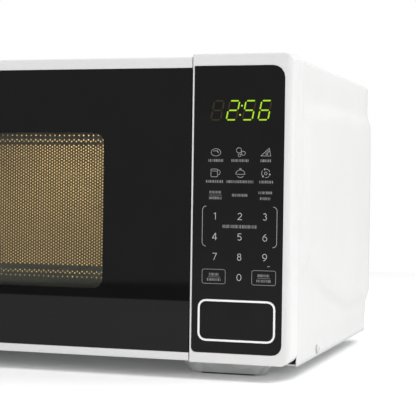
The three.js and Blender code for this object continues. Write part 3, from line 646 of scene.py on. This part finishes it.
# Rows outside the dense field as (bottom and top of the row, hole in even columns, hole in odd columns).
ROWS_ABOVE = ((DENSE_TOP, 193.6, 191.9, 190.6), (193.6, 197.9, 195.6, None))
ROWS_BELOW = ((80.1, DENSE_TOP - DENSE_ROWS * HOLE_ROW, 82.7, 81.4), (76.0, 80.1, 78.2, None))


def outlying_row(sheet, bottom, top, even, odd):
    """A row of holes in every column, or in every second one where odd is None."""
    for pair in range(FIELD_COLUMNS // 2):
        x0 = FIELD_LEFT + 2 * pair * HOLE_COLUMN
        middle = x0 + HOLE_COLUMN
        right = x0 + 2 * HOLE_COLUMN
        if odd is None:
            sheet.pierced(x0, right, bottom, top, x0 + HOLE_COLUMN / 2, even)
        else:
            sheet.pierced(x0, middle, bottom, top, x0 + HOLE_COLUMN / 2, even)
            sheet.pierced(middle, right, bottom, top, middle + HOLE_COLUMN / 2, odd)


def dense_field(sheet):
    """The staggered field: odd columns sit half a pitch lower and have one hole less."""
    bottom = DENSE_TOP - DENSE_ROWS * HOLE_ROW
    for column in range(FIELD_COLUMNS):
        x0 = FIELD_LEFT + column * HOLE_COLUMN
        x1 = x0 + HOLE_COLUMN
        shift = HOLE_ROW / 2 if column % 2 else 0.0
        for row in range(DENSE_ROWS - column % 2):
            z1 = DENSE_TOP - shift - row * HOLE_ROW
            sheet.pierced(x0, x1, z1 - HOLE_ROW, z1, x0 + HOLE_COLUMN / 2, z1 - HOLE_ROW / 2)
        if shift:
            sheet.plain(x0, x1, DENSE_TOP - shift, DENSE_TOP)
            sheet.plain(x0, x1, bottom, bottom + shift)


def door_screen():
    """The perforated inner panel and the flange that is turned back around it."""
    low, high = SCREEN_LOW, SCREEN_HIGH
    sheet = SheetOfHoles(low.y, SCREEN_SHEET, HOLE_RADIUS)
    dense_field(sheet)
    for row in ROWS_ABOVE + ROWS_BELOW:
        outlying_row(sheet, *row)
    top, bottom = ROWS_ABOVE[-1][1], ROWS_BELOW[-1][0]
    sheet.plain(low.x, high.x, top, high.z)
    sheet.plain(low.x, high.x, low.z, bottom)
    sheet.plain(low.x, FIELD_LEFT, bottom, top)
    sheet.plain(FIELD_LEFT + FIELD_COLUMNS * HOLE_COLUMN, high.x, bottom, top)
    steel = MATERIALS["screen_steel"]
    mesh = sheet.mesh("door_perforated_screen")
    finish_piece("door_perforated_screen", mesh, steel, "door", ["door_screen"])
    outer = rounded(low.x, high.x, low.z, high.z, 4)
    inner = rounded(low.x + SHEET, high.x - SHEET, low.z + SHEET, high.z - SHEET, 4 - SHEET)
    front = low.y + SCREEN_SHEET + FLANGE_GAP
    flange = drawn_mesh("door_choke_flange", [outer, inner], front, high.y - front)
    finish_piece("door_choke_flange", flange, steel, "door")


# -------------------------------------------------------------------- legends
PRINT_DEPTH = 0.04
PRINT_FRONT = OVERLAY_FRONT - 0.05
COLUMN_X = (157.1, 177.5, 198.2)
DIGIT_ROWS = ((131.4, "123"), (115.1, "456"), (99.2, "789"))
ZERO_Z = 83.1
ICON_ROWS = ((182.2, ("tuber", "kernels", "slice")), (165.6, ("mug", "cloche", "turning")))
# Labels as (x, z, length), and the taller one in the middle of the digits with its own height.
LABELS = [
    (157.1, 175.5, 12.4), (177.5, 175.5, 15), (198.2, 175.5, 9),
    (156.2, 158.8, 14.0), (177.5, 158.8, 22.5), (198.6, 158.8, 11.0),
    (157.1, 150.3, 9.7), (157.1, 145.7, 10.4), (177.5, 148.1, 13.2),
    (198.2, 150.3, 11.2), (198.2, 145.7, 8.7),
    (157.0, 85.0, 8.3), (157.0, 80.8, 11.8), (197.8, 85.0, 10), (197.8, 80.8, 11.8),
]
LABEL_HEIGHT = 2.1
TALL_LABEL = (177.5, 123.3, 28, 2.6)
MARK_WIDTHS = (0.4, 0.6, 0.85)
MARK_GAPS = (0.45, 0.6, 0.75)
# The rules between two labels of one key, and the tick above the last key, each as two ends and a width.
RULES = [
    ((151.8, 148.0), (162.4, 148.0), 0.3),
    ((152.0, 82.9), (162.0, 82.9), 0.3),
    ((192.6, 82.9), (203.0, 82.9), 0.3),
    ((200.4, 92.2), (202.6, 92.6), 0.6),
]
KEY_FRAMES = {"sides": ((147.0, 166.2), (188.0, 207.4)), "bottom": 77.6, "top": 89.0, "radius": 1.6}
BRACKETS = {"left": 149.8, "middle": 177.2, "bottom": 110.5, "top": 136.0, "radius": 3.2}
STROKES = {"digit": 0.5, "icon": 0.28, "key_frame": 0.42, "bracket": 0.34}


def print_loops(name, loops, material=LEGEND_INK):
    mesh = drawn_mesh(name, loops, PRINT_FRONT, PRINT_DEPTH)
    finish_piece(name, mesh, material, "root")


def placed(loops, x, z):
    """Loops drawn about their own middle, moved to (x, z)."""
    return [[(x + u, z + v) for u, v in loop] for loop in loops]


def mark_row(x, z, length, height, dice):
    """A row of plain upright marks that stands for a printed label, without letters."""
    loops = []
    at = x - length / 2
    while at < x + length / 2 - 0.5:
        wide = dice.choice(MARK_WIDTHS)
        low = z - height / 2
        loops.append([(at, low), (at + wide, low), (at + wide, low + height), (at, low + height)])
        at += wide + dice.choice(MARK_GAPS)
    return loops


def digit_outlines():
    """The ten digits as loops about their middle, 5.7 mm high, drawn with thin strokes."""
    w = STROKES["digit"]
    tail = arc(2.2, -1.15, 3.85, 108, 180, 8)
    six = line(tail + arc(0, -1.15, 1.65, 180, 465, 18)[1:], w)
    four = [(0.45, -2.85), (0.97, -2.85), (0.97, -1.5), (1.8, -1.5), (1.8, -1.0), (0.97, -1.0), (0.97, 2.85),
            (0.35, 2.85), (-2.1, -1.0), (-2.1, -1.5), (0.45, -1.5)]
    four_hole = [(0.45, -1.0), (-1.45, -1.0), (0.45, 2.0)]
    eight = arc(0, -1.15, 1.7, 123, 417, 16) + arc(0, 1.4, 1.45, -51, 231, 14)
    return {
        "0": line(ring(0, 0, 1.75, 24, 1.45), w, True),
        "1": line([(-1.15, 1.7), (0.35, 2.5), (0.35, -2.85)], w),
        "2": line(arc(0, 1.1, 1.45, 165, -38, 12) + [(-1.6, -2.55), (1.75, -2.55)], w),
        "3": line(arc(-0.3, 1.35, 1.2, 150, -66, 12) + arc(-0.3, -1.2, 1.4, 64, -150, 12), w),
        "4": [four, four_hole],
        "5": line([(1.45, 2.55), (-1.1, 2.55), (-1.3, 0.15)] + arc(-0.1, -1.0, 1.55, 125, -145, 14), w),
        "6": six,
        "7": line([(-1.75, 2.55), (1.6, 2.55), (-0.65, -2.85)], w),
        "8": [eight, ring(0, -1.15, 1.2), ring(0, 1.4, 0.95)],
        "9": [[(-u, -v) for u, v in loop] for loop in six],
    }


def turning_arrows(w):
    """Three curved arrows round a small ring."""
    radius = 3.4
    loops = []
    for start in (20, 140, 260):
        loops += line(arc(0, 0, radius, start, start + 86, 10), w)
        tip = math.radians(start + 100)
        back = math.radians(start + 82)
        corners = ((radius, tip), (radius + 1, back), (radius - 1, back))
        loops.append([(r * math.cos(turn), r * math.sin(turn)) for r, turn in corners])
    return loops + line(ring(0, 0, 1.1, 12), w, True)


def icon_outlines():
    """Plain food pictograms of a few lines each, as loops about their middle."""
    w = STROKES["icon"]
    crust = [(-4.2, -2.9), (3.8, -2.9), (2.6, 3.2)]
    lid = arc(0, -0.6, 3.7, 0, 180, 18, 0.85) + [(-3.7, -0.9), (3.7, -0.9)]
    return {
        "tuber": (
            line(ring(0, -0.3, 4.0, 24, 0.72), w, True)
            + line(arc(-0.6, -1.6, 2.6, 35, 125, 8), w)
            + line([(1.0, 1.2), (2.2, -0.8)], w)
        ),
        "kernels": (
            line(ring(-1.4, 1.4, 2.1), w, True)
            + line(ring(2.2, -0.9, 1.6), w, True)
            + line(ring(-0.9, -2.6, 1.1, 16), w, True)
        ),
        "slice": (
            line(crust, w, True)
            + line(ring(0.6, -1.2, 0.8, 12), w, True)
            + line(ring(2.0, 0.7, 0.6, 12), w, True)
        ),
        "mug": (
            line(rounded(-3.9, 1.5, -3.1, 3.1, 0.6, 3), w, True)
            + line(arc(1.7, 0.4, 2.0, -80, 80, 10), w)
            + line([(-3.4, 1.5), (1.0, 1.5)], w)
        ),
        "cloche": (
            line(lid, w, True)
            + line(ring(0, 3.2, 0.6, 12), w, True)
            + line(arc(0, -1.6, 2.6, 200, 340, 10, 0.7), w)
        ),
        "turning": turning_arrows(w),
    }


def print_digits():
    outlines = digit_outlines()
    for z, row in DIGIT_ROWS:
        for x, character in zip(COLUMN_X, row):
            print_loops(f"key_{character}", placed(outlines[character], x, z))
    print_loops("key_0", placed(outlines["0"], COLUMN_X[1], ZERO_Z))


def print_icons():
    outlines = icon_outlines()
    for z, row in ICON_ROWS:
        for x, kind in zip(COLUMN_X, row):
            print_loops(f"icon_{kind}", placed(outlines[kind], x, z))


def print_labels():
    dice = random.Random(7)
    marks = mark_row(*TALL_LABEL, dice)
    for x, z, length in LABELS:
        marks += mark_row(x, z, length, LABEL_HEIGHT, dice)
    print_loops("label_marks", marks, LABEL_INK)


def print_frames():
    """The rules, the outlines of the two lowest keys, and the brackets on both sides of the digits."""
    rules = []
    for start, stop, width in RULES:
        rules += line([start, stop], width)
    k = KEY_FRAMES
    for left, right in k["sides"]:
        outline = rounded(left, right, k["bottom"], k["top"], k["radius"], 4)
        rules += line(outline, STROKES["key_frame"], True)
    print_loops("key_frames", rules, LABEL_INK)
    b = BRACKETS
    left = (arc(b["left"], b["top"], b["radius"], 90, 180, 6)
            + arc(b["left"], b["bottom"], b["radius"], 180, 270, 6))
    right = [(2 * b["middle"] - x, z) for x, z in left]
    stroke = STROKES["bracket"]
    print_loops("digit_brackets", line(left, stroke) + line(right, stroke), LEGEND_INK)


def keypad_legends():
    print_digits()
    print_icons()
    print_labels()
    print_frames()


# --------------------------------------------------------------------- display
CLOCK = {"width": 8.0, "height": 15.0, "stroke": 1.1, "lean": math.tan(math.radians(11)), "z": 215.2}
CLOCK_DIGITS = ((157.9, " "), (170.7, "2"), (183.9, "5"), (196.7, "6"))
SEGMENTS = {" ": "", "2": "abged", "5": "afgcd", "6": "afgecd"}
COLON = {"x": 177.3, "rise": 3.6, "radius": 0.75}


def segment_outline(segment, x):
    """A pointed bar of a seven-segment digit, leaning to the right."""
    half_w, half_h, t = CLOCK["width"] / 2, CLOCK["height"] / 2, CLOCK["stroke"] / 2
    gap = t * 1.15
    level = {"a": half_h, "g": 0.0, "d": -half_h}
    if segment in level:
        z, end = level[segment], half_w - gap
        points = [(-end, z), (t - end, z + t), (end - t, z + t), (end, z), (end - t, z - t), (t - end, z - t)]
    else:
        side = half_w if segment in "bc" else -half_w
        low, high = (gap, half_h - gap) if segment in "bf" else (gap - half_h, -gap)
        points = [(side, low), (side + t, low + t), (side + t, high - t), (side, high), (side - t, high - t),
                  (side - t, low + t)]
    return [(x + u + v * CLOCK["lean"], CLOCK["z"] + v) for u, v in points]


def clock_display():
    lit, idle = [], []
    for x, shown in CLOCK_DIGITS:
        for segment in "abcdefg":
            target = lit if segment in SEGMENTS[shown] else idle
            target.append(segment_outline(segment, x))
    for v in (-COLON["rise"], COLON["rise"]):
        lit.append(ring(COLON["x"] + v * CLOCK["lean"], CLOCK["z"] + v, COLON["radius"], 12))
    for name, loops, material in (("clock_lit_segments", lit, LIT), ("clock_idle_segments", idle, IDLE)):
        mesh = drawn_mesh(name, loops, PRINT_FRONT, PRINT_DEPTH)
        finish_piece(name, mesh, material, "root")


# ---------------------------------------------------- turntable, screws, spring
TRAY_BOTTOM = 52.6
TRAY_THICKNESS = 4
GROOVES = 3
GROOVE_PITCH = 8
REAR_FACE = 154.0
REAR_SCREWS = [
    (-208, 28), (208, 60), (-208, 130), (208, 150), (-208, 236), (208, 236), (-70, 245), (70, 245), (0, 22),
]
# The button's own travel, and a little room.
SPRING_TRAVEL = 4.2


def tray_profile(radius, rim):
    """The tray's section from the middle of its underside round the rim and back, as (radius, height)."""
    bottom, floor = TRAY_BOTTOM, TRAY_BOTTOM + TRAY_THICKNESS
    locating_ring = [(30, bottom), (31, bottom - 0.5), (33, bottom - 0.5), (34, bottom)]
    underside = [(radius - 17, bottom), (radius - 9, bottom + 2.6), (radius - 3, bottom + 7)]
    edge = [(radius - 0.4, rim - 3), (radius, rim - 1.2), (radius - 0.3, rim - 0.3), (radius - 1.2, rim),
            (radius - 2.2, rim - 0.5)]
    inside = [(radius - 6, rim - 5), (radius - 11, floor + 2), (radius - 17, floor), (84, floor)]
    grooves = []
    for groove in range(GROOVES):
        r = 82 - groove * GROOVE_PITCH
        grooves += [(r, floor), (r - 0.8, floor - 0.5), (r - 1.6, floor)]
    return [(0, bottom)] + locating_ring + underside + edge + inside + grooves + [(0, floor)]


def turntable_tray():
    low, high = TRAY_LOW, TRAY_HIGH
    vertices, faces = revolved(tray_profile((high.x - low.x) / 2, high.z), 96)
    centre = Vector(((low.x + high.x) / 2, (low.y + high.y) / 2, 0)) * MM
    mesh = mesh_of("turntable_tray", [v + centre for v in vertices], faces, smooth=True)
    finish_piece("turntable_tray", mesh, MATERIALS["clear_glass"], "tray", ["glass_tray"])


def rear_screws():
    """Pan-head screws round the rear panel, copied from the side screw and turned to face the back."""
    source = NODES["side_screw_right"]
    low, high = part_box("side_screw_right")
    centre = Vector((SIDE * MM, (low.y + high.y) / 2, (low.z + high.z) / 2))
    turned = Matrix.Rotation(math.pi / 2, 4, "Z") @ Matrix.Translation(-centre)
    for i, (x, z) in enumerate(REAR_SCREWS):
        mesh = source.data.copy()
        mesh.transform(Matrix.Translation((x * MM, REAR_FACE * MM, z * MM)) @ turned)
        mesh.polygons.foreach_set("use_smooth", [False] * len(mesh.polygons))
        finish_piece(f"rear_screw_{i + 1}", mesh, MATERIALS["screw_steel"], "root")


def button_return_spring():
    """The button's spring at its pressed length, so that the pressed button doesn't run into it."""
    low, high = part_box("button_spring")
    squeeze = Matrix.Diagonal((1, 1 - SPRING_TRAVEL * MM / (high.y - low.y), 1, 1))
    mesh = NODES["button_spring"].data.copy()
    mesh.transform(Matrix.Translation((0, high.y, 0)) @ squeeze @ Matrix.Translation((0, -high.y, 0)))
    steel = MATERIALS["screw_steel"]
    finish_piece("button_return_spring", mesh, steel, "root", ["button_spring"])


# ----------------------------------------------------------------- CAD finishes
# The radius of the rounded edges, its number of segments, and the nodes that have it.
EDGES = [
    (0.8, 3, ["base_plate", "rear_panel"]),
    (0.7, 3, ["door_frame"]),
    (0.6, 3, ["panel_frame"]),
    (0.45, 3, ["release_button"]),
    (0.4, 2, [
        "choke_cover", "latch_hooks", "roller_ring", "drive_coupler", "cord_bushing", "interlock_bracket",
        "release_lever", "fan_housing", "fan_blade", "air_duct", "waveguide", "magnetron_yoke",
        "magnetron_filter_box", "transformer_core", "transformer_windings", "capacitor", "capacitor_clamp",
        "lower_hinge_bracket", "upper_hinge_bracket", "turntable_motor", "fan_motor",
    ]),
    (0.3, 2, ["cavity_shell", "front_frame", "side_screw_right", "side_screw_left"]),
    (0.3, 2, [name for name in NODES if name.startswith(("foot_pad", "tray_roller"))]),
    (0.12, 2, ["membrane_keypad", "button_inlay"]),
]
# Materials put in place of a node's slot material. The release button's is a painted highlight: a brighter
# copy of the white moulding for the light its rim catches.
MATERIAL_SWAPS = {
    "release_button": BUTTON_PAINTED_HIGHLIGHT,
    "front_frame": CHASSIS_PAINT,
    "side_screw_right": MATERIALS["cabinet_paint"],
    "side_screw_left": MATERIALS["cabinet_paint"],
}


def dress_cad_nodes():
    for part in frame["record"]["subparts"]:
        name = part["node"]
        dress(name, MATERIAL_SWAPS.get(name, MATERIALS[part["material_slot"]]))
    for width, segments, names in EDGES:
        for name in names:
            soften(name, width, segments)


# ------------------------------------------------------------- light and camera
FLOOR = {"left": -1.4, "right": 1.6, "front": -0.86, "rear": 1.3}
FLOOR_GLOW = 0.045
ROOM = {"seen": 1.0, "around": 0.76}
# The room as polished surfaces mirror it: bright above the far edge of the table, and dark below.
REFLECTED = {"bright": 0.64, "dark": 0.24, "edge": -0.072, "blur": 0.002}
# Each soft lamp as its name, its place, the point that it faces, its diameter and its power.
SOFTBOXES = [
    ("overhead_softbox", (0.9, -0.7, 1.6), (0.1, -0.1, 0), 1.0, 13),
    ("side_softbox", (1.4, 0.1, 1.4), (0.2, 0, 0.12), 1.0, 11),
    ("front_softbox", (-1.5, -1.7, 0.6), (0, 0, 0.12), 1.2, 5.5),
]
OVEN_LIGHT = {"place": (-90, 5, CAVITY_TOP - 10), "size": 0.2, "power": 1.15, "color": (1.0, 0.73, 0.32)}
CAMERA = {"place": (0.45807, -1.16991, 0.15345), "yaw": 17.01, "pitch": 0.866, "roll": 0.804, "lens": 114.07}


def studio_floor():
    left, right, front, rear = (FLOOR[edge] for edge in ("left", "right", "front", "rear"))
    corners = [(left, front, 0), (right, front, 0), (right, rear, 0), (left, rear, 0)]
    floor = mesh_of("floor", corners, [(0, 1, 2, 3)])
    stage = bpy.data.objects.new("floor", floor)
    SCENE.collection.objects.link(stage)
    pale = Shade("pale_floor", (0.97, 0.97, 0.97), 0.9, Emission_Strength=FLOOR_GLOW)
    pale.surface.inputs["Emission Color"].default_value = (1, 1, 1, 1)
    pale.vary_color(pale.noise(3), (0.965, 0.965, 0.965), (0.975, 0.975, 0.975))
    floor.materials.append(pale.material)


def room_background(tree, strength):
    made = tree.nodes.new("ShaderNodeBackground")
    made.inputs["Color"].default_value = (1, 1, 1, 1)
    made.inputs["Strength"].default_value = strength
    return made


def mirrored_background(tree):
    """The room in reflections, with its step at the height of the table's far edge."""
    made = room_background(tree, REFLECTED["bright"])
    direction = tree.nodes.new("ShaderNodeTexCoord")
    height = tree.nodes.new("ShaderNodeSeparateXYZ")
    level = tree.nodes.new("ShaderNodeMapRange")
    level.inputs["From Min"].default_value = REFLECTED["edge"] - REFLECTED["blur"]
    level.inputs["From Max"].default_value = REFLECTED["edge"] + REFLECTED["blur"]
    level.inputs["To Min"].default_value = REFLECTED["dark"]
    level.inputs["To Max"].default_value = REFLECTED["bright"]
    tree.links.new(direction.outputs["Generated"], height.inputs["Vector"])
    tree.links.new(height.outputs["Z"], level.inputs["Value"])
    tree.links.new(level.outputs["Result"], made.inputs["Strength"])
    return made


def choose(tree, fac, otherwise, chosen):
    """A mix of two shaders that takes the second where fac is one."""
    mix = tree.nodes.new("ShaderNodeMixShader")
    tree.links.new(fac, mix.inputs["Fac"])
    tree.links.new(otherwise.outputs[0], mix.inputs[1])
    tree.links.new(chosen.outputs[0], mix.inputs[2])
    return mix


def studio_world():
    """A white room: plain white where it is seen, a little duller as light, and stepped in reflections."""
    world = bpy.data.worlds.new("studio")
    SCENE.world = world
    world.use_nodes = True
    tree = world.node_tree
    tree.nodes.remove(tree.nodes["Background"])
    ray = tree.nodes.new("ShaderNodeLightPath")
    around = room_background(tree, ROOM["around"])
    lighting = choose(tree, ray.outputs["Is Glossy Ray"], around, mirrored_background(tree))
    seen = choose(tree, ray.outputs["Is Camera Ray"], lighting, room_background(tree, ROOM["seen"]))
    tree.links.new(seen.outputs["Shader"], tree.nodes["World Output"].inputs["Surface"])


def lamp(name, place, target, size, power, color=(1, 1, 1)):
    light = bpy.data.lights.new(name, "AREA")
    light.shape = "DISK"
    light.size = size
    light.energy = power
    light.color = color
    holder = bpy.data.objects.new(name, light)
    SCENE.collection.objects.link(holder)
    holder.location = place
    holder.rotation_euler = (Vector(target) - Vector(place)).to_track_quat("-Z", "Y").to_euler()
    holder.visible_glossy = False


def studio_lamps():
    for name, place, target, size, power in SOFTBOXES:
        lamp(name, place, target, size, power)
    inside = Vector(OVEN_LIGHT["place"]) * MM
    below = inside - Vector((0, 0, 0.1))
    lamp("cavity_lamp", inside, below, OVEN_LIGHT["size"], OVEN_LIGHT["power"], OVEN_LIGHT["color"])


def camera():
    """Looks at the front from the right, a little below the top, with a long lens."""
    yaw, pitch, roll = (math.radians(CAMERA[angle]) for angle in ("yaw", "pitch", "roll"))
    forward = Vector((-math.sin(yaw) * math.cos(pitch), math.cos(yaw) * math.cos(pitch), -math.sin(pitch)))
    right = Vector((math.cos(yaw), math.sin(yaw), 0))
    up = right.cross(forward)
    turned_right = math.cos(roll) * right + math.sin(roll) * up
    turned_up = math.cos(roll) * up - math.sin(roll) * right
    data = bpy.data.cameras.new("camera")
    data.sensor_width = 36
    data.lens = CAMERA["lens"]
    data.clip_end = 20
    holder = bpy.data.objects.new("camera", data)
    SCENE.collection.objects.link(holder)
    basis = Matrix((turned_right, turned_up, -forward)).transposed().to_4x4()
    holder.matrix_world = Matrix.Translation(CAMERA["place"]) @ basis
    SCENE.camera = holder


camera()
studio_floor()
studio_world()
studio_lamps()
SCENE.view_settings.view_transform = "Standard"
dress_cad_nodes()
cabinet_sheet()
door_pane()
door_screen()
keypad_legends()
clock_display()
turntable_tray()
rear_screws()
button_return_spring()
